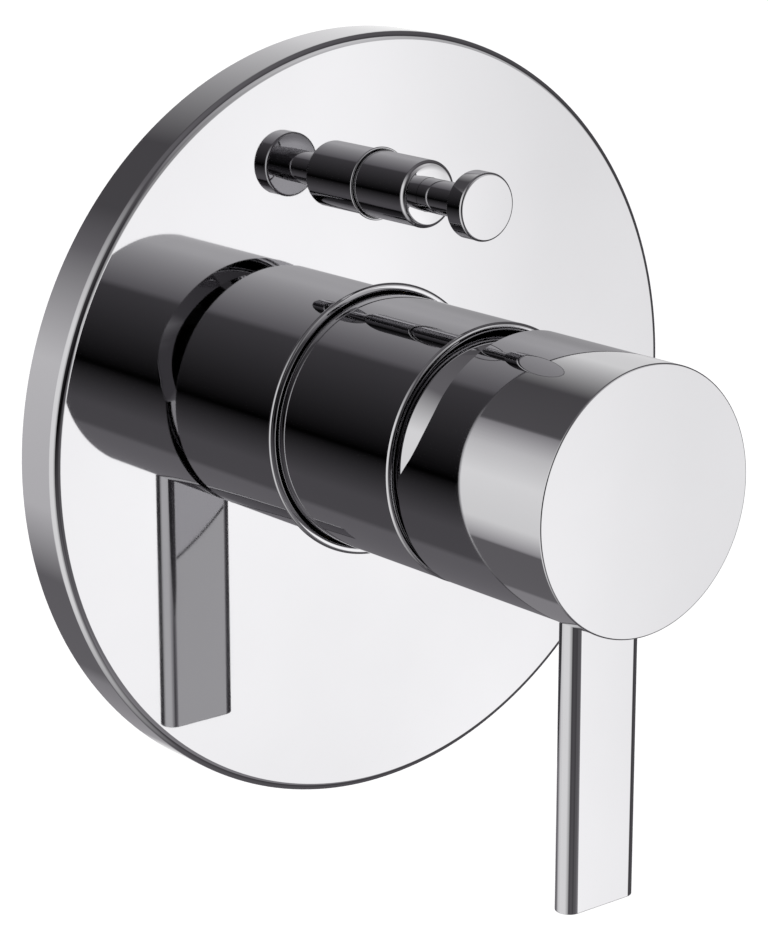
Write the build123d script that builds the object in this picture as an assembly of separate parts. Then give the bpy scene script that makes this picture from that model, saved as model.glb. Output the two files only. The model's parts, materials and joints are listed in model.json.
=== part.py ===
from build123d import *
import math
import os

# Concealed single-lever bath mixer: cover plate, sleeve, tilting handle with a lever, pull-out diverter.
# Each piece is drawn in a bench frame: x to the right, y up the wall, z out of the wall, millimetres.
# When it is written, that frame becomes X, Z and -Y of the part. The wall's surface is z = 0.

# Clearances
FIT = 0.05
SLIP = 0.15
LOOSE = 0.3
SAME = 0.0001

# Cover plate, a pressed dish that hides the hole in the wall
PLATE_D = 150.0
PLATE_DEPTH = 10.5
PLATE_WALL = 2.0
PLATE_EDGE = 1.6
LIP_GAP = 0.2
LIP_RISE = 0.85
LIP_DEPTH = 0.8
LIP_ROUND = 0.4
GASKET_WIDTH = 5.0
SEAL_RECESS = 1.0
SEAL_FLANGE = 2.2
SEAL_FLANGE_DEPTH = 1.4

# Main sleeve and the dome inside its rim
SLEEVE_D = 50.0
SLEEVE_WALL = 1.6
SLEEVE_OUT = 33.5
SLEEVE_EDGE = 0.7
SLEEVE_HOLE_GAP = 1.6
SLEEVE_LIP = 2.1
DOME_GAP = 0.5
DOME_WALL = 1.5
DOME_MOUTH_R = 17.0
PIVOT_BEHIND_RIM = 8.0

# Handle and lever
HANDLE_D = 50.0
HANDLE_GAP = 2.8
HANDLE_LENGTH = 38.5
HANDLE_EDGE = 0.3
HANDLE_CAVITY = 16.2
HANDLE_SWING_GAP = 1.4
RELIEF_START = 0.3
RELIEF_DEPTH = 5.6
RELIEF_ANGLE = 34.3
RELIEF_BLEND = 18.0
BOSS_R = 8.0
BOSS_HEIGHT = 10.0
LEVER_WIDTH = 17.4
LEVER_THICKNESS = 5.2
LEVER_ROUND = 0.48
LEVER_REACH = 79.6
LEVER_SETBACK = 9.0
LEVER_TONGUE = 14.8
LEVER_SCREW_R = 1.5
LEVER_SCREW_SPREAD = 4.4
GRUB_R = 2.0
GRUB_LENGTH = 8.0
PLUG_R = 2.6
PLUG_LENGTH = 3.0

# Cartridge, of the size that takes a 35 mm bore
CARTRIDGE_R = 17.5
CARTRIDGE_SEAT = 12.0
BASE_FLANGE = 2.5
BASE_HEIGHT = 4.0
HOUSING_WALL = 2.0
HOUSING_SHOULDER = 35.0
HOUSING_NECK_R = 13.0
HOUSING_TOP = 44.0
PORT_SPREAD = 8.5
PORT_DROP = 4.5
PORT_RISE = 9.0
PORT_R = 3.3
PORT_SEAL_WALL = 1.5
PORT_SEAL_HEIGHT = 1.5
FIXED_DISC_R = 14.5
MOVING_DISC_R = 12.4
DISC_HEIGHT = 4.0
DISC_CHAMBER_WIDTH = 14.0
DISC_CHAMBER_DEPTH = 1.6
CARRIER_HEIGHT = 4.0
DISC_ARM = 9.5
BALL_R = 2.2
BALL_NECK_R = 1.7
ROTOR_FLANGE_R = 14.8
ROTOR_FLANGE_HEIGHT = 2.6
ROTOR_JOURNAL_R = 11.4
ROTOR_SLOT_LENGTH = 17.0
PIVOT_PIN_R = 1.5
SPINDLE_SQUARE = 8.0
SPINDLE_FOOT = 5.0
SPINDLE_REACH = 37.0
TILT = 22.0

# Valve body behind the wall
NECK_R = 22.0
NECK_SHOULDER = 30.0
NECK_TOP = 40.0
DOME_THREAD_R = 20.8
NUT_THREAD_R = 18.8
NUT_HEX = 32.5
NUT_HEX_HEIGHT = 4.0
ORING_R = 1.0
ORING_HEIGHTS = (6.0, 24.0)
HUB_R = 27.0
HUB_DEPTH = 36.0
HUB_EDGE = 2.0
ARM_R = 13.0
ARM_DEPTH = 15.5
ARM_REACH = 39.0
BATH_REACH = 58.0
THREAD_R = 9.32
THREAD_LENGTH = 12.0
CHANNEL_R = 5.0
CHANNEL_STOP = 5.0
LUG_SPREAD = 32.0
LUG_R = 6.5
LUG_HEIGHT = 4.0
LUG_HOLE_R = 2.75

# Diverter above the handle
DIVERTER_DROP = 28.7
DIVERTER_SLEEVE_D = 12.9
DIVERTER_SLEEVE_WALL = 1.2
DIVERTER_SLEEVE_OUT = 15.0
DIVERTER_SLEEVE_EDGE = 0.6
DIVERTER_SLEEVE_CAP = 1.5
DIVERTER_HOLE_GAP = 0.7
DIVERTER_LIP = 1.0
STEM_R = 3.25
STEM_TAIL_R = 2.4
STEM_SPIGOT_R = 2.0
STEM_SPIGOT = 3.0
KNOB_D = 12.8
KNOB_HEIGHT = 4.3
KNOB_OUT = 31.5
KNOB_EDGE = 0.5
DIVERTER_TRAVEL = 7.5
CHEST_R = 11.0
CHEST_FRONT = 2.0
CHEST_TAIL_R = 8.0
CHEST_BACK = 24.5
CHAMBER_R = 8.0
CHAMBER_BACK = 20.0
VALVE_SEAT_R = 5.2
VALVE_SEAT_HEIGHT = 2.0
BONNET_THREAD = 4.0
BONNET_HEX = 17.0
BONNET_HEX_HEIGHT = 4.0
BONNET_TOP = 20.0
WASHER_HEIGHT = 0.5
PLUNGER_R = 6.8
PLUNGER_HEIGHT = 3.0
PLUNGER_SEAL_HEIGHT = 0.6
PLUNGER_SEAL_WALL = 2.2
STEM_ORING_R = 0.5
STEM_ORING_HEIGHT = 14.0
SPRING_R = 3.6
SPRING_WIRE_R = 0.4
SPRING_TURNS = 5

# Places that follow from the sizes above
PLATE_R = PLATE_D / 2
PLATE_BACK = PLATE_DEPTH - PLATE_WALL
SLEEVE_R = SLEEVE_D / 2
SLEEVE_BORE_R = SLEEVE_R - SLEEVE_WALL
SLEEVE_HOLE_R = SLEEVE_R + SLEEVE_HOLE_GAP
DOME_R = SLEEVE_BORE_R - DOME_GAP
RIM = PLATE_DEPTH + SLEEVE_OUT
PIVOT = RIM - PIVOT_BEHIND_RIM
HANDLE_R = HANDLE_D / 2
HANDLE_BACK = RIM + HANDLE_GAP
HANDLE_FRONT = HANDLE_BACK + HANDLE_LENGTH
CAVITY_R = math.sqrt((DOME_R + HANDLE_SWING_GAP) ** 2 - (HANDLE_BACK - PIVOT) ** 2)
CAVITY_FLOOR = HANDLE_BACK + HANDLE_CAVITY
LEVER_EDGE = LEVER_THICKNESS * LEVER_ROUND
LEVER_FRONT = HANDLE_FRONT - LEVER_SETBACK
LEVER_BACK = LEVER_FRONT - LEVER_THICKNESS
LEVER_TOP = LEVER_TONGUE - HANDLE_R
GRUB_HEIGHT = LEVER_BACK - PLUG_R - LOOSE - FIT
DISC_SEAT = CARTRIDGE_SEAT + BASE_HEIGHT
HOUSING_BORE_R = CARTRIDGE_R - HOUSING_WALL
MOVING_DISC = DISC_SEAT + DISC_HEIGHT
CARRIER = MOVING_DISC + DISC_HEIGHT
ROTOR = CARRIER + CARRIER_HEIGHT + LOOSE
BALL = PIVOT - DISC_ARM
DISC_TRAVEL = DISC_ARM * math.radians(TILT)
DISC_REST = DISC_TRAVEL / 2
PORTS = ((-PORT_SPREAD, -PORT_DROP), (PORT_SPREAD, -PORT_DROP), (0.0, PORT_RISE))
DIVERTER_RISE = PLATE_R - DIVERTER_DROP
DIVERTER_SLEEVE_R = DIVERTER_SLEEVE_D / 2
DIVERTER_HOLE_R = DIVERTER_SLEEVE_R + DIVERTER_HOLE_GAP
DIVERTER_RIM = PLATE_DEPTH + DIVERTER_SLEEVE_OUT
BONNET_SEAT = CHEST_FRONT + WASHER_HEIGHT
BONNET_NECK_R = DIVERTER_SLEEVE_R - DIVERTER_SLEEVE_WALL - FIT
BONNET_BACK = CHEST_FRONT - BONNET_THREAD
KNOB_BACK = PLATE_DEPTH + KNOB_OUT - KNOB_HEIGHT
PLUNGER_BACK = -CHAMBER_BACK + PLUNGER_SEAL_HEIGHT
PLUNGER_FRONT = PLUNGER_BACK + PLUNGER_HEIGHT
FRONT_SEAT = PLUNGER_FRONT + PLUNGER_SEAL_HEIGHT + DIVERTER_TRAVEL + LOOSE


def turned(*profile):
    """A body of revolution about z from (radius, height) points."""
    return revolve(Plane.XZ * make_face(Polyline(*profile, close=True)), Axis.Z)


def rod(radius, low, high, x=0.0, y=0.0):
    """A cylinder along z."""
    return Pos(x, y, low) * Cylinder(radius, high - low, align=(Align.CENTER, Align.CENTER, Align.MIN))


def ring(outer, inner, low, high, x=0.0, y=0.0):
    """A tube along z."""
    return rod(outer, low, high, x, y) - rod(inner, low, high, x, y)


def along_x(radius, left, right, y, z):
    """A cylinder along x."""
    return Pos(left, y, z) * Rot(0, 90, 0) * Cylinder(
        radius, right - left, align=(Align.CENTER, Align.CENTER, Align.MIN))


def along_y(radius, low, high, x, z):
    """A cylinder along y."""
    return Pos(x, high, z) * Rot(90, 0, 0) * Cylinder(
        radius, high - low, align=(Align.CENTER, Align.CENTER, Align.MIN))


def hexagon(across_flats, low, high):
    """A hexagonal block along z."""
    return Pos(0, 0, low) * extrude(RegularPolygon(across_flats / 2, 6, major_radius=False), high - low)


def block(width, height, low, high, x=0.0, y=0.0):
    """A rectangular block along z."""
    return Pos(x, y, low) * Box(width, height, high - low, align=(Align.CENTER, Align.CENTER, Align.MIN))


def rims(solid, radius, height):
    """The circular edges of one radius at one height."""
    found = solid.edges().filter_by(GeomType.CIRCLE)
    found = found.filter_by(lambda edge: abs(edge.radius - radius) < SAME)
    return found.filter_by(lambda edge: abs(edge.arc_center.Z - height) < SAME)


def together(solids):
    """Separate solids as one group."""
    group = solids[0]
    for solid in solids[1:]:
        group += solid
    return group


def at_diverter(solid):
    """Moves a piece from the handle's axis to the diverter's."""
    return Pos(0, DIVERTER_RISE, 0) * solid


def raised_lip(sleeve_radius, width):
    """A ring with a rounded top that closes a hole of the plate round its sleeve, over the seal."""
    inner = sleeve_radius + LIP_GAP
    outer = inner + width
    top = PLATE_DEPTH + LIP_RISE
    bead = ring(outer, inner, PLATE_DEPTH - LIP_DEPTH, top)
    return fillet(rims(bead, outer, top) + rims(bead, inner, top), width * LIP_ROUND)


def cover_plate():
    """A dish with a rounded rim, and a hole with a raised lip for each sleeve."""
    dish = rod(PLATE_R, 0, PLATE_DEPTH) - rod(PLATE_R - PLATE_WALL, 0, PLATE_BACK)
    dish = fillet(rims(dish, PLATE_R, PLATE_DEPTH), PLATE_EDGE)
    dish -= rod(SLEEVE_HOLE_R, 0, PLATE_DEPTH)
    dish -= at_diverter(rod(DIVERTER_HOLE_R, 0, PLATE_DEPTH))
    return dish + raised_lip(SLEEVE_R, SLEEVE_LIP) + at_diverter(raised_lip(DIVERTER_SLEEVE_R, DIVERTER_LIP))


def wall_gasket():
    """A foam ring inside the rim, between the plate's back and the wall."""
    outer = PLATE_R - PLATE_WALL - FIT
    return ring(outer, outer - GASKET_WIDTH, 0, PLATE_BACK)


def lip_seal(hole_radius, sleeve_radius):
    """A rubber ring in a hole of the plate, with a flange behind it."""
    inner = sleeve_radius + FIT
    outer = hole_radius - FIT
    top = PLATE_DEPTH - SEAL_RECESS
    foot = PLATE_BACK - SEAL_FLANGE_DEPTH
    flange = hole_radius + SEAL_FLANGE
    shoulder = ((flange, foot), (flange, PLATE_BACK), (outer, PLATE_BACK))
    seal = turned((inner, foot), *shoulder, (outer, top), (inner, top))
    return fillet(rims(seal, outer, top) + rims(seal, inner, top), (outer - inner) / 3)


def sleeve_seal():
    return lip_seal(SLEEVE_HOLE_R, SLEEVE_R)


def diverter_seal():
    return at_diverter(lip_seal(DIVERTER_HOLE_R, DIVERTER_SLEEVE_R))


def main_sleeve():
    """A tube that stands on the valve body and comes out through the plate."""
    tube = ring(SLEEVE_R, SLEEVE_BORE_R, 0, RIM)
    return fillet(rims(tube, SLEEVE_R, RIM) + rims(tube, SLEEVE_BORE_R, RIM), SLEEVE_EDGE)


def sleeve_orings():
    """Two rings in grooves of the neck, which grip the sleeve."""
    centre = SLEEVE_BORE_R - FIT / 2 - ORING_R
    rings = [Pos(0, 0, height) * Torus(centre, ORING_R - FIT / 2) for height in ORING_HEIGHTS]
    return together(rings)


def dome_cap():
    """A dome about the handle's pivot, screwed on the neck and open for the spindle."""
    inner = DOME_R - DOME_WALL
    mouth = PIVOT + math.sqrt(DOME_R ** 2 - DOME_MOUTH_R ** 2)
    shell = rod(DOME_R, NECK_SHOULDER, PIVOT) + Pos(0, 0, PIVOT) * Sphere(DOME_R)
    keep = rod(DOME_R, NECK_SHOULDER, mouth)
    hollow = rod(DOME_THREAD_R + FIT, NECK_SHOULDER, NECK_TOP + LOOSE) + Pos(0, 0, PIVOT) * Sphere(inner)
    return (shell & keep) - hollow - rod(DOME_MOUTH_R, PIVOT, mouth)


def lever_profile(extra=0.0):
    """The lever's rounded section, in the plane across its length."""
    middle = (LEVER_FRONT + LEVER_BACK) / 2
    section = RectangleRounded(LEVER_WIDTH + 2 * extra, LEVER_THICKNESS + 2 * extra, LEVER_EDGE + extra)
    return Plane(origin=(0, 0, middle), x_dir=(1, 0, 0), z_dir=(0, -1, 0)) * section


def lever_bar():
    """A flat bar with rounded long edges, cut off square at the bottom."""
    return Pos(0, LEVER_TOP, 0) * extrude(lever_profile(), LEVER_TOP + LEVER_REACH)


def lever_screw_places():
    drop = (LEVER_TOP - HANDLE_R) / 2
    return ((-LEVER_SCREW_SPREAD, drop), (LEVER_SCREW_SPREAD, drop))


def handle_relief():
    """What is cut from the upper half of the handle's back edge, so that it can tilt over the sleeve."""
    top = HANDLE_BACK + RELIEF_DEPTH
    bend = RELIEF_START + RELIEF_DEPTH / math.tan(math.radians(RELIEF_ANGLE))
    points = ((RELIEF_START, HANDLE_BACK), (bend, top), (HANDLE_D, top), (HANDLE_D, HANDLE_BACK))
    section = make_face(Polyline(*points, close=True))
    corner = section.vertices().sort_by_distance((bend, top, 0))[0]
    return extrude(Plane.YZ * fillet(corner, RELIEF_BLEND), HANDLE_D, both=True)


def handle_body():
    """A thick cap, hollow behind, its upper back edge set back so that it can tilt."""
    cap = rod(HANDLE_R, HANDLE_BACK, HANDLE_FRONT)
    cap = fillet(rims(cap, HANDLE_R, HANDLE_FRONT), HANDLE_EDGE)
    cap -= rod(CAVITY_R, HANDLE_BACK, CAVITY_FLOOR)
    cap += rod(BOSS_R, CAVITY_FLOOR - BOSS_HEIGHT, CAVITY_FLOOR)
    cap -= handle_relief()
    socket = SPINDLE_SQUARE + 2 * FIT
    cap -= block(socket, socket, HANDLE_BACK, PIVOT + SPINDLE_REACH + LOOSE)
    cap -= Pos(0, LEVER_TOP + SLIP, 0) * extrude(lever_profile(SLIP), HANDLE_D)
    cap -= along_y(GRUB_R + FIT, -HANDLE_D, 0, 0, GRUB_HEIGHT)
    cap -= along_y(PLUG_R + FIT, -HANDLE_D, PLUG_LENGTH + SLIP - HANDLE_R, 0, GRUB_HEIGHT)
    for x, y in lever_screw_places():
        cap -= rod(LEVER_SCREW_R + FIT, CAVITY_FLOOR, LEVER_BACK, x, y)
    return cap


def lever_screws():
    """Two grub screws behind the lever's tongue, driven from inside the cavity."""
    return together([rod(LEVER_SCREW_R, CAVITY_FLOOR, LEVER_BACK, x, y) for x, y in lever_screw_places()])


def handle_screw():
    """The grub screw from below that holds the handle on the spindle, with its hexagon socket."""
    point = -SPINDLE_SQUARE / 2
    screw = along_y(GRUB_R, point - GRUB_LENGTH, point, 0, GRUB_HEIGHT)
    key = Pos(0, point - GRUB_LENGTH, GRUB_HEIGHT) * Rot(-90, 0, 0) * hexagon(GRUB_R, 0, GRUB_LENGTH / 2)
    return screw - key


def screw_plug():
    """The plug over the grub screw's hole, flush with the handle's underside."""
    plug = along_y(PLUG_R, -HANDLE_D, PLUG_LENGTH - HANDLE_R, 0, GRUB_HEIGHT)
    return plug & rod(HANDLE_R, 0, HANDLE_FRONT)


def cartridge_base():
    """The cartridge's foot, with three water ways and a recess for the seal of each."""
    foot = rod(CARTRIDGE_R - FIT, CARTRIDGE_SEAT, CARTRIDGE_SEAT + BASE_FLANGE)
    foot += rod(HOUSING_BORE_R - FIT, CARTRIDGE_SEAT, DISC_SEAT)
    for x, y in PORTS:
        foot -= rod(PORT_R, CARTRIDGE_SEAT, DISC_SEAT, x, y)
        foot -= rod(PORT_R + PORT_SEAL_WALL + FIT, CARTRIDGE_SEAT, CARTRIDGE_SEAT + PORT_SEAL_HEIGHT, x, y)
    return foot


def base_seals():
    """Three rubber rings between the cartridge's foot and its seat."""
    top = CARTRIDGE_SEAT + PORT_SEAL_HEIGHT
    return together([ring(PORT_R + PORT_SEAL_WALL, PORT_R, CARTRIDGE_SEAT, top, x, y) for x, y in PORTS])


def fixed_disc():
    """The ceramic disc that stays still."""
    disc = rod(FIXED_DISC_R, DISC_SEAT, MOVING_DISC)
    for x, y in PORTS:
        disc -= rod(PORT_R, DISC_SEAT, MOVING_DISC, x, y)
    return disc


def moving_disc():
    """The ceramic disc that slides on the fixed one, with the mixing chamber in its underside."""
    disc = rod(MOVING_DISC_R, MOVING_DISC, CARRIER, 0, DISC_REST)
    chamber = Pos(0, DISC_REST, MOVING_DISC) * extrude(
        SlotOverall(DISC_CHAMBER_WIDTH, DISC_CHAMBER_WIDTH / 2, rotation=90), DISC_CHAMBER_DEPTH)
    return disc - chamber


def disc_carrier():
    """The plate on the moving disc, with the hole that the spindle's ball pushes."""
    plate = rod(MOVING_DISC_R, CARRIER, CARRIER + CARRIER_HEIGHT, 0, DISC_REST)
    return plate - rod(BALL_R + LOOSE, CARRIER, CARRIER + CARRIER_HEIGHT)


def cartridge_housing():
    """The cartridge's outer cup, with a shoulder for the nut and a bearing for the rotor."""
    low = CARTRIDGE_SEAT + BASE_FLANGE
    bearing = ROTOR + ROTOR_FLANGE_HEIGHT + LOOSE
    cup = rod(CARTRIDGE_R - FIT, low, HOUSING_SHOULDER) + rod(HOUSING_NECK_R, HOUSING_SHOULDER, HOUSING_TOP)
    cup -= rod(HOUSING_BORE_R, low, bearing)
    return cup - rod(ROTOR_JOURNAL_R + FIT, bearing, HOUSING_TOP)


def rotor():
    """The piece that turns in the housing and carries the spindle on a cross pin."""
    top = HOUSING_TOP - SLIP
    body = rod(ROTOR_FLANGE_R, ROTOR, ROTOR + ROTOR_FLANGE_HEIGHT) + rod(ROTOR_JOURNAL_R, ROTOR, top)
    body -= block(SPINDLE_SQUARE + 2 * FIT, ROTOR_SLOT_LENGTH, ROTOR, top)
    return body - along_x(PIVOT_PIN_R + FIT, -ROTOR_JOURNAL_R, ROTOR_JOURNAL_R, 0, PIVOT)


def pivot_pin():
    """The cross pin of the tilt."""
    half = ROTOR_JOURNAL_R - LOOSE
    return along_x(PIVOT_PIN_R, -half, half, 0, PIVOT)


def spindle():
    """A square bar that the handle fits on, with a ball foot below the cross pin."""
    bar = block(SPINDLE_SQUARE, SPINDLE_SQUARE, PIVOT - SPINDLE_FOOT, PIVOT + SPINDLE_REACH)
    bar += rod(BALL_NECK_R, BALL, PIVOT - SPINDLE_FOOT)
    bar += Pos(0, 0, BALL) * Sphere(BALL_R)
    return bar - along_x(PIVOT_PIN_R + FIT, -SPINDLE_SQUARE, SPINDLE_SQUARE, 0, PIVOT)


def retaining_nut():
    """The nut that holds the cartridge down on its seat."""
    nut = rod(NUT_THREAD_R - FIT, HOUSING_SHOULDER, NECK_TOP)
    nut += hexagon(NUT_HEX, NECK_TOP, NECK_TOP + NUT_HEX_HEIGHT)
    return nut - rod(HOUSING_NECK_R + LOOSE, HOUSING_SHOULDER, NECK_TOP + NUT_HEX_HEIGHT)


def casting():
    """The outside of the valve body: neck, hub, arms, diverter chest and fixing lugs."""
    hub = fillet(rims(rod(HUB_R, -HUB_DEPTH, 0), HUB_R, -HUB_DEPTH), HUB_EDGE)
    hub += rod(NECK_R, 0, NECK_SHOULDER) + rod(DOME_THREAD_R, NECK_SHOULDER, NECK_TOP)
    hub += along_x(ARM_R, -ARM_REACH, ARM_REACH, 0, -ARM_DEPTH)
    hub += along_y(ARM_R, -BATH_REACH, 0, 0, -ARM_DEPTH)
    hub += along_y(CHEST_R, 0, DIVERTER_RISE, 0, -ARM_DEPTH)
    hub += at_diverter(rod(CHEST_R, -ARM_DEPTH - CHANNEL_R, CHEST_FRONT) + rod(CHEST_TAIL_R, -CHEST_BACK, 0))
    hub += along_x(CHEST_R, 0, ARM_REACH, DIVERTER_RISE, -CHEST_R)
    for side in (-1, 1):
        for level in (-1, 1):
            x, y = side * LUG_SPREAD, level * LUG_SPREAD
            turn = math.degrees(math.atan2(y, x))
            hub += rod(LUG_R, -LUG_HEIGHT, 0, x, y)
            hub += Rot(0, 0, turn) * Pos(0, 0, -LUG_HEIGHT) * Box(
                math.hypot(x, y), 2 * LUG_R, LUG_HEIGHT, align=(Align.MIN, Align.CENTER, Align.MIN))
    return hub


def valve_body():
    """The brass casting with its bores, threaded ports and water ways."""
    body = casting()
    body -= rod(CARTRIDGE_R, CARTRIDGE_SEAT, NECK_TOP) + rod(NUT_THREAD_R, HOUSING_SHOULDER, NECK_TOP)
    groove = SLEEVE_BORE_R - FIT - 2 * ORING_R
    for height in ORING_HEIGHTS:
        body -= ring(NECK_R + LOOSE, groove, height - ORING_R - SLIP, height + ORING_R + SLIP)
    for x, y in PORTS:
        body -= rod(PORT_R, -ARM_DEPTH, CARTRIDGE_SEAT, x, y)
    for side in (-1, 1):
        ends = sorted((side * ARM_REACH, side * (ARM_REACH - THREAD_LENGTH)))
        body -= along_x(THREAD_R, ends[0], ends[1], 0, -ARM_DEPTH)
        ends = sorted((side * ARM_REACH, side * CHANNEL_STOP))
        body -= along_x(CHANNEL_R, ends[0], ends[1], 0, -ARM_DEPTH)
        for level in (-1, 1):
            body -= rod(LUG_HOLE_R, -LUG_HEIGHT, 0, side * LUG_SPREAD, level * LUG_SPREAD)
    body -= along_y(THREAD_R, -BATH_REACH, THREAD_LENGTH - BATH_REACH, 0, -ARM_DEPTH)
    body -= along_y(PORT_R, PORT_RISE, DIVERTER_RISE, 0, -ARM_DEPTH)
    body -= along_x(THREAD_R, ARM_REACH - THREAD_LENGTH, ARM_REACH, DIVERTER_RISE, -CHEST_R)
    body -= at_diverter(rod(CHAMBER_R, -CHAMBER_BACK, CHEST_FRONT))
    return body


def seat_ring():
    """The front seat of the diverter, pressed into the chest."""
    return at_diverter(ring(CHAMBER_R - FIT, VALVE_SEAT_R, FRONT_SEAT, FRONT_SEAT + VALVE_SEAT_HEIGHT))


def diverter_bonnet():
    """The headwork screwed into the chest, which guides the stem."""
    bonnet = rod(CHAMBER_R - FIT, BONNET_BACK, BONNET_SEAT)
    bonnet += hexagon(BONNET_HEX, BONNET_SEAT, BONNET_SEAT + BONNET_HEX_HEIGHT)
    bonnet += rod(BONNET_NECK_R, BONNET_SEAT, BONNET_TOP)
    bonnet -= rod(STEM_R + FIT, BONNET_BACK, BONNET_TOP)
    groove = STEM_R + 2 * FIT + 2 * STEM_ORING_R
    bonnet -= rod(groove, STEM_ORING_HEIGHT - STEM_ORING_R - FIT, STEM_ORING_HEIGHT + STEM_ORING_R + FIT)
    return at_diverter(bonnet)


def bonnet_washer():
    """The flat washer under the bonnet's hexagon."""
    return at_diverter(ring(CHEST_R - LOOSE, CHAMBER_R, CHEST_FRONT, BONNET_SEAT))


def stem_oring():
    """The ring in the bonnet that seals the stem."""
    return at_diverter(Pos(0, 0, STEM_ORING_HEIGHT) * Torus(STEM_R + FIT + STEM_ORING_R, STEM_ORING_R))


def diverter_sleeve():
    """The bright tube over the bonnet, closed at the front round the stem."""
    foot = BONNET_SEAT + BONNET_HEX_HEIGHT
    tube = rod(DIVERTER_SLEEVE_R, foot, DIVERTER_RIM)
    tube = fillet(rims(tube, DIVERTER_SLEEVE_R, DIVERTER_RIM), DIVERTER_SLEEVE_EDGE)
    tube -= rod(DIVERTER_SLEEVE_R - DIVERTER_SLEEVE_WALL, foot, DIVERTER_RIM - DIVERTER_SLEEVE_CAP)
    return at_diverter(tube - rod(STEM_R + SLIP, foot, DIVERTER_RIM))


def diverter_stem():
    """The rod from the knob to the plunger."""
    stem = rod(STEM_TAIL_R, PLUNGER_BACK, BONNET_BACK) + rod(STEM_R, BONNET_BACK, KNOB_BACK)
    return at_diverter(stem + rod(STEM_SPIGOT_R, KNOB_BACK, KNOB_BACK + STEM_SPIGOT))


def diverter_knob():
    """The pull knob, a short disc with rounded edges."""
    front = KNOB_BACK + KNOB_HEIGHT
    knob = rod(KNOB_D / 2, KNOB_BACK, front)
    knob = fillet(rims(knob, KNOB_D / 2, front) + rims(knob, KNOB_D / 2, KNOB_BACK), KNOB_EDGE)
    return at_diverter(knob - rod(STEM_SPIGOT_R + FIT, KNOB_BACK, KNOB_BACK + STEM_SPIGOT))


def diverter_plunger():
    """The valve disc on the stem's tail."""
    return at_diverter(ring(PLUNGER_R, STEM_TAIL_R + FIT, PLUNGER_BACK, PLUNGER_FRONT))


def plunger_seals():
    """A rubber ring on each face of the plunger."""
    inner = PLUNGER_R - PLUNGER_SEAL_WALL
    back = ring(PLUNGER_R, inner, PLUNGER_BACK - PLUNGER_SEAL_HEIGHT, PLUNGER_BACK)
    front = ring(PLUNGER_R, inner, PLUNGER_FRONT, PLUNGER_FRONT + PLUNGER_SEAL_HEIGHT)
    return at_diverter(together([back, front]))


def diverter_spring():
    """The coil that pushes the plunger back, between it and the bonnet."""
    low = PLUNGER_FRONT + SPRING_WIRE_R
    height = BONNET_BACK - SPRING_WIRE_R - low
    coil = Helix(height / SPRING_TURNS, height, SPRING_R)
    wire = sweep(Plane(origin=coil @ 0, z_dir=coil % 0) * Circle(SPRING_WIRE_R), path=coil)
    return at_diverter(Pos(0, 0, low) * wire)


PIECES = (
    cover_plate, wall_gasket, sleeve_seal, diverter_seal, main_sleeve, sleeve_orings, dome_cap,
    handle_body, lever_bar, lever_screws, handle_screw, screw_plug,
    cartridge_base, base_seals, fixed_disc, moving_disc, disc_carrier, cartridge_housing,
    rotor, pivot_pin, spindle, retaining_nut, valve_body,
    seat_ring, diverter_bonnet, bonnet_washer, stem_oring, diverter_sleeve, diverter_stem,
    diverter_knob, diverter_plunger, plunger_seals, diverter_spring,
)

os.makedirs("parts", exist_ok=True)
for piece in PIECES:
    solid = Plane.XZ * piece()
    export_step(solid, "parts/" + piece.__name__ + ".step")
    print(piece.__name__, round(solid.volume), "mm3")
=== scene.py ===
# %% [markdown]
# # A concealed bath mixer in mirror chrome
# The CAD model gives every piece its size and place. Blender adds the looks: clean surfaces that can
# carry a mirror finish, a material for each piece, and a small studio. The frame is loaded first and its
# box is kept, because the dressed model has to stay inside it.

# %% Load the frame
import bmesh
import bpy
import json
import math
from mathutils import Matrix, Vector


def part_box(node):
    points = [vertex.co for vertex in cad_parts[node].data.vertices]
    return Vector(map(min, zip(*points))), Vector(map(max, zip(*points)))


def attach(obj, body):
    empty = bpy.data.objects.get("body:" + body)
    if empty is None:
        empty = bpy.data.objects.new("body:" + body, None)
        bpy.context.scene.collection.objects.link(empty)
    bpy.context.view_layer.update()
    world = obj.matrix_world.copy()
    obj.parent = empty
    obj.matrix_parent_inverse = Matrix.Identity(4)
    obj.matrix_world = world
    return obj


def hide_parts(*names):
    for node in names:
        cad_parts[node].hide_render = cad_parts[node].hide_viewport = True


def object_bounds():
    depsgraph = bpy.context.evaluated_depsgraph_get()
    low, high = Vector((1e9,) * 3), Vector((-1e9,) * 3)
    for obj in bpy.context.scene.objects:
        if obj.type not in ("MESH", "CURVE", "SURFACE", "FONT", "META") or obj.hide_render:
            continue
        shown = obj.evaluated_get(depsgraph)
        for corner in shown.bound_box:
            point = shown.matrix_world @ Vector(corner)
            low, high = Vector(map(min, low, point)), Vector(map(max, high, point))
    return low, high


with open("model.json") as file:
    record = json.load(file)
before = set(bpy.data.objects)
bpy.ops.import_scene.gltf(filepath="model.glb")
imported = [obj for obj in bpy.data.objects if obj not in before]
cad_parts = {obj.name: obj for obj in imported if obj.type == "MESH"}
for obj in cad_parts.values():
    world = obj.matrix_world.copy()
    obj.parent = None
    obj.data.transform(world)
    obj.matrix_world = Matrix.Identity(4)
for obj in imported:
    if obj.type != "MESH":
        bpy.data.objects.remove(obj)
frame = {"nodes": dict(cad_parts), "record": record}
cad_low, cad_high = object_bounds()
MM = 0.001
print("frame box in mm", [round(v / MM, 1) for v in cad_low], [round(v / MM, 1) for v in cad_high])

# %% [markdown]
# ## Sizes
# The frame holds the main sizes as boxes, so they are read from it and not typed a second time. Lengths
# along the handle's axis are given as "out", the distance out of the wall, which is minus Y.

# %% Read the sizes
def out_of(node):
    low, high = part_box(node)
    return -high.y, -low.y


def radius_of(node):
    low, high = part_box(node)
    return (high.x - low.x) / 2


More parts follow.
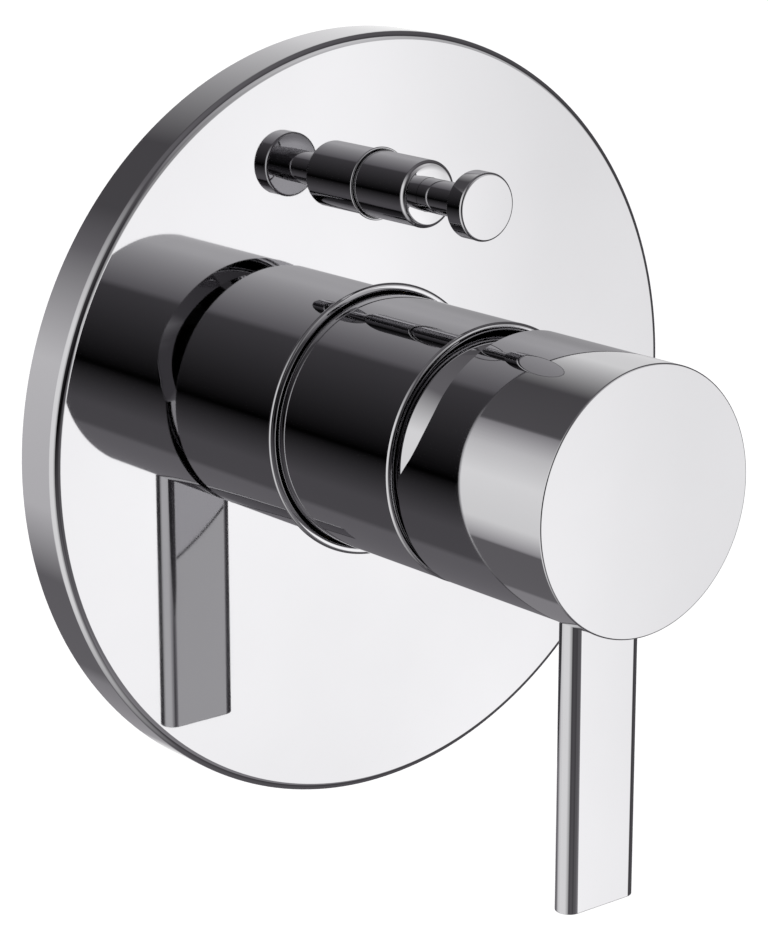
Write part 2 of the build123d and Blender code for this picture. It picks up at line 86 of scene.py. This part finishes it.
PLATE_R = radius_of("cover_plate")
LIP_OUT = out_of("cover_plate")[1]
CAD_LIP_RISE = 0.85 * MM
PLATE_OUT = LIP_OUT - CAD_LIP_RISE
SLEEVE_R = radius_of("main_sleeve")
RIM_OUT = out_of("main_sleeve")[1]
HANDLE_R = radius_of("handle_body")
HANDLE_BACK, HANDLE_OUT = out_of("handle_body")
RISE = sum(v.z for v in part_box("diverter_knob")) / 2
SEAL_GAP = 1.6 * MM
DIVERTER_GAP = 0.7 * MM
LIP_GAP = 0.3 * MM
STEPS = 224
print("plate", round(PLATE_R / MM, 2), "sleeve", round(SLEEVE_R / MM, 2), "handle", round(HANDLE_R / MM, 2),
      "diverter", round(RISE / MM, 2))

# %% [markdown]
# ## Surface grain
# Nearly every real surface has two kinds of unevenness: broad patches, from handling or from the foundry,
# and a fine grain. One shader node group makes both from Object coordinates, and each material sets its
# own scales. It could be painted by hand, but noise keeps the same size on every piece.

# %% Build the grain group
def new_group(name, inputs, outputs):
    group = bpy.data.node_groups.new(name, "ShaderNodeTree")
    for label, kind, value in inputs:
        socket = group.interface.new_socket(label, in_out="INPUT", socket_type=kind)
        if value is not None:
            socket.default_value = value
    for label in outputs:
        group.interface.new_socket(label, in_out="OUTPUT", socket_type="NodeSocketFloat")
    return group, group.nodes.new("NodeGroupInput"), group.nodes.new("NodeGroupOutput")


grain_group, source, result = new_group(
    "surface_grain",
    [("Place", "NodeSocketVector", None), ("Patch Scale", "NodeSocketFloat", 60.0),
     ("Grain Scale", "NodeSocketFloat", 1500.0)],
    ["Patches", "Grain"])
for label, detail, scale in (("Patches", 4.0, "Patch Scale"), ("Grain", 2.0, "Grain Scale")):
    noise = grain_group.nodes.new("ShaderNodeTexNoise")
    noise.inputs["Detail"].default_value = detail
    grain_group.links.new(source.outputs["Place"], noise.inputs["Vector"])
    grain_group.links.new(source.outputs[scale], noise.inputs["Scale"])
    spread = grain_group.nodes.new("ShaderNodeMapRange")
    spread.inputs["From Min"].default_value = 0.3
    spread.inputs["From Max"].default_value = 0.7
    grain_group.links.new(noise.outputs["Fac"], spread.inputs["Value"])
    grain_group.links.new(spread.outputs["Result"], result.inputs[label])
print("group", grain_group.name, [s.name for s in grain_group.interface.items_tree])

# %% [markdown]
# ## A material kit
# A material here starts as a Principled shader with the grain group beside it. Patches shift the colour
# and the gloss a little, and the grain goes to a Bump node. What is the same all over is set on the
# shader's own sockets.

# %% Define the material kit
MIX_FACTOR, MIX_FIRST, MIX_SECOND, MIX_RESULT = 0, 6, 7, 2


def add(material, kind, **values):
    node = material.node_tree.nodes.new(kind)
    for label, value in values.items():
        node.inputs[label.replace("_", " ")].default_value = value
    return node


def link(material, start, end):
    material.node_tree.links.new(start, end)


def spread_value(material, start, low, high):
    node = add(material, "ShaderNodeMapRange", To_Min=low, To_Max=high)
    link(material, start, node.inputs["Value"])
    return node.outputs["Result"]


def mix_colours(material, factor, first, second):
    node = material.node_tree.nodes.new("ShaderNodeMix")
    node.data_type = "RGBA"
    for socket, colour in ((node.inputs[MIX_FIRST], first), (node.inputs[MIX_SECOND], second)):
        if isinstance(colour, tuple):
            socket.default_value = (*colour, 1.0)
        else:
            link(material, colour, socket)
    link(material, factor, node.inputs[MIX_FACTOR])
    return node.outputs[MIX_RESULT]


def grained_material(name, colours, gloss, patch, grain, metal=0.0, bump=0.0, depth=0.0001):
    material = bpy.data.materials.new(name)
    material.use_nodes = True
    shader = material.node_tree.nodes["Principled BSDF"]
    shader.inputs["Metallic"].default_value = metal
    place = add(material, "ShaderNodeTexCoord")
    effect = material.node_tree.nodes.new("ShaderNodeGroup")
    effect.node_tree = grain_group
    effect.inputs["Patch Scale"].default_value = patch
    effect.inputs["Grain Scale"].default_value = grain
    link(material, place.outputs["Object"], effect.inputs["Place"])
    link(material, mix_colours(material, effect.outputs["Patches"], *colours), shader.inputs["Base Color"])
    link(material, spread_value(material, effect.outputs["Patches"], *gloss), shader.inputs["Roughness"])
    if bump:
        relief = add(material, "ShaderNodeBump", Strength=bump, Distance=depth)
        link(material, effect.outputs["Grain"], relief.inputs["Height"])
        link(material, relief.outputs["Normal"], shader.inputs["Normal"])
    print("material", name)
    return material


# %% [markdown]
# ## Mirror chrome
# Chrome plate is a very smooth metal, slightly blue, and it shows almost nothing of its own: what one
# sees is the room. It gives back only a little more than half of the light, so what it mirrors twice or
# three times grows darker each time, and that is half of its look. A faint film of handling changes the
# gloss in broad patches.

# %% Make the chrome
chrome = grained_material("mirror_chrome", ((0.555, 0.551, 0.564), (0.543, 0.539, 0.552)),
                          (0.012, 0.035), 42.0, 900.0, metal=1.0)

# %% [markdown]
# ## The hidden materials
# Behind the plate there is cast and turned brass, black rubber, grey foam, white plastic, ceramic, steel
# and red fibre. Seen from the side or from behind they count as much as the chrome, so each gets its own
# grain and gloss.

# %% Make the other materials
brass = grained_material("cast_brass", ((0.60, 0.43, 0.17), (0.48, 0.33, 0.12)), (0.30, 0.48), 70.0, 1400.0,
                         metal=1.0, bump=0.35, depth=0.0002)
rubber = grained_material("black_rubber", ((0.012, 0.012, 0.013), (0.022, 0.022, 0.023)),
                          (0.42, 0.6), 120.0, 2600.0, bump=0.2)
foam = grained_material("grey_foam", ((0.05, 0.05, 0.053), (0.1, 0.1, 0.105)),
                        (0.8, 0.95), 260.0, 1500.0, bump=0.8, depth=0.0004)
plastic = grained_material("white_plastic", ((0.80, 0.80, 0.78), (0.74, 0.74, 0.72)),
                           (0.35, 0.5), 80.0, 2200.0, bump=0.1)
ceramic = grained_material(
    "lapped_ceramic", ((0.86, 0.85, 0.82), (0.82, 0.81, 0.78)), (0.12, 0.22), 90.0, 3000.0)
steel = grained_material("plain_steel", ((0.56, 0.57, 0.58), (0.46, 0.47, 0.48)),
                         (0.18, 0.32), 150.0, 2600.0, metal=1.0, bump=0.1)
fibre = grained_material("red_fibre", ((0.36, 0.07, 0.045), (0.26, 0.045, 0.03)),
                         (0.6, 0.8), 300.0, 1800.0, bump=0.5)

# %% [markdown]
# ## Dressing the frame
# A CAD node keeps its own mesh. Only its material slots change, by the slot name that the record gives
# the node.

# %% Dress the CAD nodes
finishes = {"chrome": chrome, "brass": brass, "rubber": rubber, "foam": foam, "cartridge_plastic": plastic,
            "disc_ceramic": ceramic, "steel": steel, "washer_fibre": fibre}
for row in frame["record"]["subparts"]:
    node = frame["nodes"][row["node"]]
    for place in node.material_slots:
        place.material = finishes[row["material_slot"]]
print("dressed", len(frame["nodes"]), "nodes")

# %% [markdown]
# ## Drawing on the lathe
# Plate, sleeve, dome, handle and knob are all turned pieces. A lathe hand draws half of the section and
# turns it round the axis, and so does this cell: one vertex is extruded along the outline, its corners
# are rounded with a vertex bevel, and Spin turns it. A cylinder primitive with bevels would do as well,
# but an outline gives the hollow inside in the same step.

# %% Define the lathe
def pick(kind, test):
    bpy.ops.mesh.select_mode(type=kind)
    bpy.ops.mesh.select_all(action="DESELECT")
    mesh = bpy.context.object.data
    shape = bmesh.from_edit_mesh(mesh)
    parts = {"VERT": shape.verts, "EDGE": shape.edges, "FACE": shape.faces}[kind]
    chosen = [part for part in parts if test(part)]
    for part in chosen:
        part.select_set(True)
    shape.select_flush_mode()
    bmesh.update_edit_mesh(mesh)
    return len(chosen)


def draw_outline(name, points):
    bpy.ops.object.select_all(action="DESELECT")
    bpy.ops.mesh.primitive_plane_add(size=MM)
    piece = bpy.context.object
    piece.name = piece.data.name = name
    bpy.ops.object.mode_set(mode="EDIT")
    bpy.ops.mesh.select_mode(type="VERT")
    bpy.ops.mesh.select_all(action="SELECT")
    bpy.ops.mesh.merge(type="CENTER")
    bpy.ops.transform.translate(value=points[0])
    for start, end in zip(points, points[1:]):
        step = [b - a for a, b in zip(start, end)]
        bpy.ops.mesh.extrude_vertices_move(TRANSFORM_OT_translate={"value": step})
    bpy.ops.mesh.select_all(action="SELECT")
    bpy.ops.mesh.edge_face_add()
    return piece


def round_corners(places, radius, segments=8):
    near = [Vector(place) for place in places]
    pick("VERT", lambda v: any((v.co - place).length < 0.01 * MM for place in near))
    bpy.ops.mesh.bevel(offset_type="ABSOLUTE", offset=radius, segments=segments, profile=0.5,
                       affect="VERTICES")


def turn_piece(name, section, rounds=(), rise=0.0):
    points = [(radius, -out, 0.0) for radius, out in section]
    piece = draw_outline(name, points)
    for corners, radius in rounds:
        round_corners([points[i] for i in corners], radius)
    pick("FACE", lambda f: True)
    bpy.ops.mesh.delete(type="ONLY_FACE")
    if pick("EDGE", lambda e: all(abs(v.co.x) < 1e-7 for v in e.verts)):
        bpy.ops.mesh.delete(type="EDGE")
    bpy.ops.mesh.select_all(action="SELECT")
    bpy.ops.mesh.spin(steps=STEPS, angle=2 * math.pi, center=(0, 0, 0), axis=(0, 1, 0))
    bpy.ops.mesh.select_all(action="SELECT")
    bpy.ops.mesh.remove_doubles(threshold=1e-6)
    bpy.ops.mesh.normals_make_consistent(inside=False)
    bpy.ops.transform.translate(value=(0, 0, rise))
    bpy.ops.object.mode_set(mode="OBJECT")
    return piece


def combine(piece, tool, how):
    bpy.ops.object.select_all(action="DESELECT")
    piece.select_set(True)
    bpy.context.view_layer.objects.active = piece
    bpy.ops.object.modifier_add(type="BOOLEAN")
    cut = piece.modifiers[-1]
    cut.operation = how
    cut.solver = "EXACT"
    cut.object = tool
    bpy.ops.object.modifier_apply(modifier=cut.name)
    bpy.data.objects.remove(tool)


def smooth_piece(piece, angle=35):
    bpy.ops.object.select_all(action="DESELECT")
    piece.select_set(True)
    bpy.context.view_layer.objects.active = piece
    bpy.ops.object.shade_smooth_by_angle(angle=math.radians(angle))
    bpy.ops.object.modifier_add(type="WEIGHTED_NORMAL")
    piece.modifiers[-1].keep_sharp = True
    piece.modifiers[-1].weight = 100
    bpy.ops.object.modifier_apply(modifier=piece.modifiers[-1].name)


def hang_on(piece, finish, slot, body, *nodes):
    piece.data.materials.clear()
    piece.data.materials.append(finish)
    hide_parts(*nodes)
    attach(piece, body)
    corners = [[pick_end(v.co[i] for v in piece.data.vertices) for i in range(3)] for pick_end in (min, max)]
    box = [[round(v / MM, 1) for v in c] for c in corners]
    print(piece.name, len(piece.data.polygons), "faces, box in mm", box)


# %% [markdown]
# ## The cover plate
# A pressed brass dish, polished and plated, that hides the hole in the wall. Its face is a flat mirror,
# so it must have truly flat normals up to the rounded rim. Weighted Normal does that: large faces win
# over the thin bevels. A low rounded lip runs round each hole. The large one is part of the turned
# outline. The small hole is not on the axis, so it is bored with one Boolean, and its lip is turned by
# itself and joined with another.

# %% Make the cover plate
WALL = 2.0 * MM
PLATE_ROUND = 1.6 * MM
LIP_WIDTH, LIP_ROUND = 1.55 * MM, 0.57 * MM
SMALL_WIDTH, SMALL_ROUND = 0.46 * MM, 0.2 * MM
LIP_FOOT = PLATE_OUT - 0.8 * MM
LIP_TOP = PLATE_OUT + 0.58 * MM
lip_in = SLEEVE_R + LIP_GAP
lip_out = lip_in + LIP_WIDTH
hole = SLEEVE_R + SEAL_GAP
plate = turn_piece("plate_dish", [
    (PLATE_R, 0.0), (PLATE_R, PLATE_OUT), (lip_out, PLATE_OUT), (lip_out, LIP_TOP), (lip_in, LIP_TOP),
    (lip_in, LIP_FOOT), (hole, LIP_FOOT), (hole, PLATE_OUT - WALL), (PLATE_R - WALL, PLATE_OUT - WALL),
    (PLATE_R - WALL, 0.0)],
    [((1,), PLATE_ROUND), ((3, 4), LIP_ROUND)])
small_in = radius_of("diverter_sleeve") + LIP_GAP / 2
small_out = small_in + SMALL_WIDTH
SMALL_TOP = PLATE_OUT + 0.24 * MM
bore = radius_of("diverter_sleeve") + DIVERTER_GAP
drill = turn_piece("drill", [
    (0.0, 0.0), (bore, 0.0), (bore, LIP_FOOT), (small_in, LIP_FOOT), (small_in, 2 * PLATE_OUT),
    (0.0, 2 * PLATE_OUT)],
    rise=RISE)
combine(plate, drill, "DIFFERENCE")
SUNK = PLATE_OUT - 0.4 * MM
LAP = small_in + 0.02 * MM
lip = turn_piece("lip", [(LAP, SUNK), (small_out, SUNK), (small_out, SMALL_TOP), (LAP, SMALL_TOP)],
                 [((2, 3), SMALL_ROUND)], RISE)
combine(plate, lip, "UNION")
smooth_piece(plate)
hang_on(plate, chrome, "chrome", "valve", "cover_plate")

# %% [markdown]
# ## The sleeve
# A plain tube with a soft rim. The rim's rounding is what catches the bright line all round it in real
# life.

# %% Make the sleeve
TUBE = 1.6 * MM
RIM_ROUND = 0.7 * MM
sleeve = turn_piece("sleeve_tube", [
    (SLEEVE_R - TUBE, 0.0), (SLEEVE_R, 0.0), (SLEEVE_R, RIM_OUT), (SLEEVE_R - TUBE, RIM_OUT)],
    [((2, 3), RIM_ROUND)])
smooth_piece(sleeve)
hang_on(sleeve, chrome, "chrome", "valve", "main_sleeve")

# %% [markdown]
# ## The dome
# Between sleeve and handle a chrome dome hides the cartridge. It stays inside the sphere that the
# handle's cavity swings over. Its side leans in by about 27 degrees, so it throws the pale card on the
# left back to the viewer, and its two bends are soft, as on a pressed cap.

# %% Make the dome
dome_low, dome_high = out_of("dome_cap")
DOME_R = radius_of("dome_cap")
MOUTH = 17.0 * MM
SHELL = 1.5 * MM
SHOULDER = dome_low + 12.0 * MM
CROWN = dome_high - 1.7 * MM
CROWN_R = DOME_R - 3.9 * MM
BROW = dome_high - 0.1 * MM
CROWN_IN, SHOULDER_IN = CROWN - 1.0 * MM, SHOULDER - 0.6 * MM
DOME_ROUND = 1.5 * MM
dome = turn_piece("dome_shell", [
    (DOME_R, dome_low), (DOME_R, SHOULDER), (CROWN_R, CROWN), (MOUTH, BROW), (MOUTH, CROWN),
    (CROWN_R - SHELL, CROWN_IN), (DOME_R - SHELL, SHOULDER_IN), (DOME_R - SHELL, dome_low)],
    [((1,), DOME_ROUND), ((2,), DOME_ROUND)])
smooth_piece(dome)
hang_on(dome, chrome, "chrome", "valve", "dome_cap")

# %% [markdown]
# ## The handle
# A thick cap on the spindle, hollow behind. The upper half of its back edge is set back in a soft bend,
# so that it can tilt over the sleeve. The cap is turned first, and the relief, the lever's slot and the
# screw's hole are cut with Booleans, as a mill would cut them.

# %% Make the handle
CAVITY = 21.77 * MM
FLOOR_OUT = HANDLE_BACK + 16.2 * MM
BOSS = 8.0 * MM
BOSS_BACK = FLOOR_OUT - 10 * MM
HANDLE_ROUND = 0.3 * MM
handle = turn_piece("handle_cap", [
    (CAVITY, HANDLE_BACK), (HANDLE_R, HANDLE_BACK), (HANDLE_R, HANDLE_OUT), (0.0, HANDLE_OUT),
    (0.0, BOSS_BACK), (BOSS, BOSS_BACK), (BOSS, FLOOR_OUT), (CAVITY, FLOOR_OUT)],
    [((2,), HANDLE_ROUND)])


def mill(name, points, first, last, bend, radius):
    tool = draw_outline(name, points)
    round_corners([points[bend]], radius, 16)
    bpy.ops.mesh.select_all(action="SELECT")
    bpy.ops.transform.translate(value=first)
    bpy.ops.mesh.extrude_region_move(TRANSFORM_OT_translate={"value": [b - a for a, b in zip(first, last)]})
    bpy.ops.mesh.select_all(action="SELECT")
    bpy.ops.mesh.normals_make_consistent(inside=False)
    bpy.ops.object.mode_set(mode="OBJECT")
    return tool


START = 0.3 * MM
TOP = 5.6 * MM
SLANT = math.radians(34.3)
BEND = START + TOP / math.tan(SLANT)
BEND_ROUND = 5.56 * MM
CLEAR = 30 * MM
BEHIND = -HANDLE_BACK + 10 * MM
relief = mill("relief_mill", [
    (0, -HANDLE_BACK, START), (0, -HANDLE_BACK - TOP, BEND), (0, -HANDLE_BACK - TOP, CLEAR),
    (0, BEHIND, CLEAR), (0, BEHIND, START)], (-CLEAR, 0, 0), (CLEAR, 0, 0), 1, BEND_ROUND)
combine(handle, relief, "DIFFERENCE")

# %% Cut the lever's slot and the screw's holes
lever_low, lever_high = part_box("lever_bar")
SLIP = 0.15 * MM
EDGE = 0.48 * (lever_high.y - lever_low.y)
SLOT_REACH = 100 * MM
LONG_EDGE = 10 * MM


def block(name, middle, size):
    bpy.ops.object.select_all(action="DESELECT")
    bpy.ops.mesh.primitive_cube_add(size=1, location=middle)
    piece = bpy.context.object
    piece.name = piece.data.name = name
    piece.scale = size
    bpy.ops.object.transform_apply(location=True, rotation=True, scale=True)
    return piece


def round_long_edges(radius, segments):
    pick("EDGE", lambda e: abs(e.verts[0].co.z - e.verts[1].co.z) > LONG_EDGE)
    bpy.ops.mesh.bevel(offset_type="OFFSET", offset=radius, segments=segments, profile=0.5, affect="EDGES")


slot_mill = block("slot_mill", (0, (lever_low.y + lever_high.y) / 2, lever_high.z + SLIP - SLOT_REACH / 2),
                  (lever_high.x - lever_low.x + 2 * SLIP, lever_high.y - lever_low.y + 2 * SLIP, SLOT_REACH))
bpy.ops.object.mode_set(mode="EDIT")
round_long_edges(EDGE + SLIP, 12)
bpy.ops.object.mode_set(mode="OBJECT")
combine(handle, slot_mill, "DIFFERENCE")
DRILL_REACH = 20 * MM
PLUG_FIT = 0.05 * MM
plug_low, plug_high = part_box("screw_plug")
bpy.ops.object.select_all(action="DESELECT")
bpy.ops.mesh.primitive_cylinder_add(
    vertices=64, radius=radius_of("screw_plug") + PLUG_FIT, depth=DRILL_REACH,
    location=(0, (plug_low.y + plug_high.y) / 2, plug_high.z + SLIP - DRILL_REACH / 2))
drill = bpy.context.object
bpy.ops.object.transform_apply(location=True, rotation=True, scale=True)
combine(handle, drill, "DIFFERENCE")
SOCKET, SOCKET_DEPTH = 8.1 * MM, 22 * MM
SOCKET_MIDDLE = (FLOOR_OUT + 63 * MM) / 2
combine(handle, block("socket_mill", (0, -SOCKET_MIDDLE, 0), (SOCKET, SOCKET_DEPTH, SOCKET)), "DIFFERENCE")
smooth_piece(handle)
hang_on(handle, chrome, "chrome", "handle", "handle_body")

# %% [markdown]
# ## The lever
# A flat bar with round long edges, let into the underside of the handle. A cube at its size gets its long
# edges bevelled nearly to the middle of its thickness, and its end edges only broken.

# %% Make the lever
TIP_ROUND = 0.15 * MM
lever = block("lever_blade", (lever_low + lever_high) / 2, lever_high - lever_low)
bpy.ops.object.mode_set(mode="EDIT")
round_long_edges(EDGE, 28)
pick("EDGE", lambda e: all(abs(v.co.z - lever_low.z) < 1e-6 for v in e.verts))
bpy.ops.mesh.bevel(offset_type="OFFSET", offset=TIP_ROUND, segments=3, profile=0.5, affect="EDGES")
bpy.ops.object.mode_set(mode="OBJECT")
smooth_piece(lever)
hang_on(lever, chrome, "chrome", "handle", "lever_bar")

# %% [markdown]
# ## The diverter
# A small tube, a rod through it and a pull knob. All three are turned on the diverter's own axis, above
# the handle.

# %% Make the diverter
STEM_R = 3.25 * MM
tube_low, tube_high = out_of("diverter_sleeve")
TUBE_R = radius_of("diverter_sleeve")
knob_low, knob_high = out_of("diverter_knob")
KNOB_R = radius_of("diverter_knob")
TUBE_IN = TUBE_R - 1.2 * MM
GUIDE_R = STEM_R + 0.04 * MM
GUIDE_BACK = tube_high - 1.5 * MM
TUBE_ROUND, KNOB_ROUND = 1.0 * MM, 0.5 * MM
TAIL_R, TAIL_OUT = 2.4 * MM, -2.0 * MM
SPIGOT_R, SPIGOT_FIT = 2.0 * MM, 0.05 * MM
tube = turn_piece("diverter_tube", [
    (TUBE_IN, tube_low), (TUBE_R, tube_low), (TUBE_R, tube_high), (GUIDE_R, tube_high), (GUIDE_R, GUIDE_BACK),
    (TUBE_IN, GUIDE_BACK)], [((2,), TUBE_ROUND)], RISE)
smooth_piece(tube)
hang_on(tube, chrome, "chrome", "valve", "diverter_sleeve")
stem_low, stem_high = out_of("diverter_stem")
stem = turn_piece("diverter_rod", [
    (0.0, stem_low), (TAIL_R, stem_low), (TAIL_R, TAIL_OUT), (STEM_R, TAIL_OUT), (STEM_R, knob_low),
    (SPIGOT_R, knob_low), (SPIGOT_R, stem_high), (0.0, stem_high)], [], RISE)
smooth_piece(stem)
hang_on(stem, chrome, "chrome", "diverter", "diverter_stem")
knob = turn_piece("diverter_button", [
    (SPIGOT_R + SPIGOT_FIT, knob_low), (KNOB_R, knob_low), (KNOB_R, knob_high), (0.0, knob_high),
    (0.0, stem_high), (SPIGOT_R + SPIGOT_FIT, stem_high)], [((1, 2), KNOB_ROUND)], RISE)
smooth_piece(knob)
hang_on(knob, chrome, "chrome", "diverter", "diverter_knob")

# %% [markdown]
# ## The studio
# Chrome shows only what stands round it, so the studio is drawn as a picture of long cards that run from
# the wall to the viewer: white on the right, dark on the viewer's side, pale on the left. The angle round
# the handle's axis picks the card. One strip holds what lies in front, one what lies beside, and two what
# lies behind, the second of them only for the rim of the plate.

# %% Hang the cards
LIGHT = 2.0


def card_colour(grey):
    cool = 1.0 - min(grey, 1.0)
    return grey / LIGHT, grey * (1.0 - 0.045 * cool) / LIGHT, grey * (1.0 + 0.035 * cool) / LIGHT, 1.0


def strip(tree, stops):
    ramp = tree.nodes.new("ShaderNodeValToRGB")
    elements = ramp.color_ramp.elements
    elements.remove(elements[-1])
    elements[0].position = 0.0
    elements[0].color = card_colour(stops[0][1])
    for angle, grey in stops[1:]:
        elements.new((angle + 180.0) / 360.0).color = card_colour(grey)
    return ramp


studio = bpy.data.worlds.new("studio")
studio.use_nodes = True
tree = studio.node_tree
tree.nodes.clear()
where = tree.nodes.new("ShaderNodeTexCoord")
axes = tree.nodes.new("ShaderNodeSeparateXYZ")
tree.links.new(where.outputs["Generated"], axes.inputs[0])


def maths(operation, first, second=None):
    node = tree.nodes.new("ShaderNodeMath")
    node.operation = operation
    for socket, value in zip(node.inputs, (first, second)):
        if isinstance(value, (int, float)):
            socket.default_value = value
        elif value is not None:
            tree.links.new(value, socket)
    return node.outputs[0]


def ease(value, low, high, first=0.0, last=1.0):
    node = tree.nodes.new("ShaderNodeMapRange")
    node.interpolation_type = "SMOOTHSTEP"
    for label, number in (("From Min", low), ("From Max", high), ("To Min", first), ("To Max", last)):
        node.inputs[label].default_value = number
    tree.links.new(value, node.inputs["Value"])
    return node.outputs["Result"]


angle = maths("ARCTAN2", axes.outputs["Z"], maths("MULTIPLY", axes.outputs["X"], -1.0))
turn = maths("ADD", maths("DIVIDE", angle, 2 * math.pi), 0.5)
front = strip(tree, [
    (-180, 0.85), (-171, 0.85), (-169, 1.60), (-158, 1.65), (-146, 1.50), (-144, 0.30), (-82, 0.30),
    (-76, 0.18), (-50, 0.18), (-8, 0.0), (70, 0.12), (76, 0.28), (140, 0.90), (180, 0.85)])
beside = strip(tree, [(-180, 0.10), (-90, 0.15), (-45, 1.15), (22, 1.15), (60, 0.20), (180, 0.10)])
behind = strip(tree, [
    (-180, 0.85), (-150, 0.25), (-99, 0.33), (-96, 0.18), (-52, 0.18), (-50, 0.45), (-32, 1.05), (5, 1.15),
    (30, 0.85), (49, 0.37), (51, 0.12), (92, 0.10), (140, 1.00), (180, 0.85)])
edge = strip(tree, [
    (-180, 1.00), (-140, 0.95), (-128, 0.40), (-100, 0.30), (-94, 0.18), (-60, 0.18), (-36, 0.72), (10, 0.82),
    (46, 0.20), (60, 0.10), (86, 0.10), (148, 0.90), (180, 1.00)])
for ramp in (front, beside, behind, edge):
    tree.links.new(turn, ramp.inputs["Fac"])
across, depth = axes.outputs["X"], axes.outputs["Y"]
fade = maths("MULTIPLY", ease(across, 0.60, 0.69, 1.0, 0.77), ease(depth, -0.73, -0.70, 1.0, 1.08))
nose = maths("MULTIPLY", ease(depth, -0.93, -0.78, 0.5, 1.0), ease(across, 0.50, 0.60, 1.06, 1.0))


def dim(colour, factor):
    node = tree.nodes.new("ShaderNodeVectorMath")
    node.operation = "SCALE"
    tree.links.new(colour, node.inputs[0])
    tree.links.new(factor, node.inputs["Scale"])
    return node.outputs[0]


view = dim(front.outputs["Color"], maths("MULTIPLY", fade, nose))
side = dim(beside.outputs["Color"], ease(depth, -0.62, -0.15, 0.5, 1.0))
for low, high, colour in (
        (-0.64, -0.54, side), (0.52, 0.64, behind.outputs["Color"]), (0.735, 0.75, edge.outputs["Color"])):
    cards = tree.nodes.new("ShaderNodeMix")
    cards.data_type = "RGBA"
    tree.links.new(ease(depth, low, high), cards.inputs[MIX_FACTOR])
    tree.links.new(view, cards.inputs[MIX_FIRST])
    tree.links.new(colour, cards.inputs[MIX_SECOND])
    view = cards.outputs[MIX_RESULT]
room = tree.nodes.new("ShaderNodeBackground")
room.inputs["Strength"].default_value = LIGHT
tree.links.new(view, room.inputs["Color"])
white = tree.nodes.new("ShaderNodeBackground")
white.inputs["Color"].default_value = (1.0, 1.0, 1.0, 1.0)
rays = tree.nodes.new("ShaderNodeLightPath")
join = tree.nodes.new("ShaderNodeMixShader")
tree.links.new(rays.outputs["Is Camera Ray"], join.inputs[0])
tree.links.new(room.outputs[0], join.inputs[1])
tree.links.new(white.outputs[0], join.inputs[2])
tree.links.new(join.outputs[0], tree.nodes.new("ShaderNodeOutputWorld").inputs["Surface"])
bpy.context.scene.world = studio
bpy.context.scene.view_settings.view_transform = "Standard"
print("cards", [len(ramp.color_ramp.elements) for ramp in (front, beside, behind, edge)])

# %% [markdown]
# ## The floor
# The mixer hangs on a wall, so the floor lies well below it. It glows a little, which makes it as white
# as paper without a strong lamp, and it is kept out of the chrome, where the cards are meant to show.

# %% Lay the floor
bpy.ops.object.select_all(action="DESELECT")
bpy.ops.mesh.primitive_plane_add(size=12, location=(0, 0, cad_low.z - 0.2))
floor = bpy.context.object
floor.name = "floor"
paper = bpy.data.materials.new("paper_floor")
paper.use_nodes = True
sheet = paper.node_tree.nodes["Principled BSDF"]
sheet.inputs["Base Color"].default_value = (0.9, 0.9, 0.9, 1.0)
sheet.inputs["Roughness"].default_value = 0.9
sheet.inputs["Emission Color"].default_value = (1.0, 1.0, 1.0, 1.0)
sheet.inputs["Emission Strength"].default_value = 0.8
floor.data.materials.append(paper)
floor.visible_glossy = False
print("floor at", round(floor.location.z / MM), "mm")

# %% [markdown]
# ## The camera
# The camera stands to the left of the mixer and a little above it, about 60 cm away. Its place and focal
# length were fitted to the round rims of plate, sleeve and handle.

# %% Set the camera
AZIMUTH, ELEVATION, DISTANCE = math.radians(-39.008), math.radians(15.597), 0.598974
aim = Vector((0.001217, -PLATE_OUT, -0.010635))
back_to_eye = Vector((math.sin(AZIMUTH) * math.cos(ELEVATION), -math.cos(AZIMUTH) * math.cos(ELEVATION),
                      math.sin(ELEVATION)))
bpy.ops.object.camera_add(location=aim + DISTANCE * back_to_eye)
camera = bpy.context.object
camera.rotation_euler = (-back_to_eye).to_track_quat("-Z", "Y").to_euler()
camera.data.lens = 117.21
camera.data.sensor_width = 36.0
camera.data.clip_start = 0.01
bpy.context.scene.camera = camera
print("camera at", [round(v, 4) for v in camera.location])
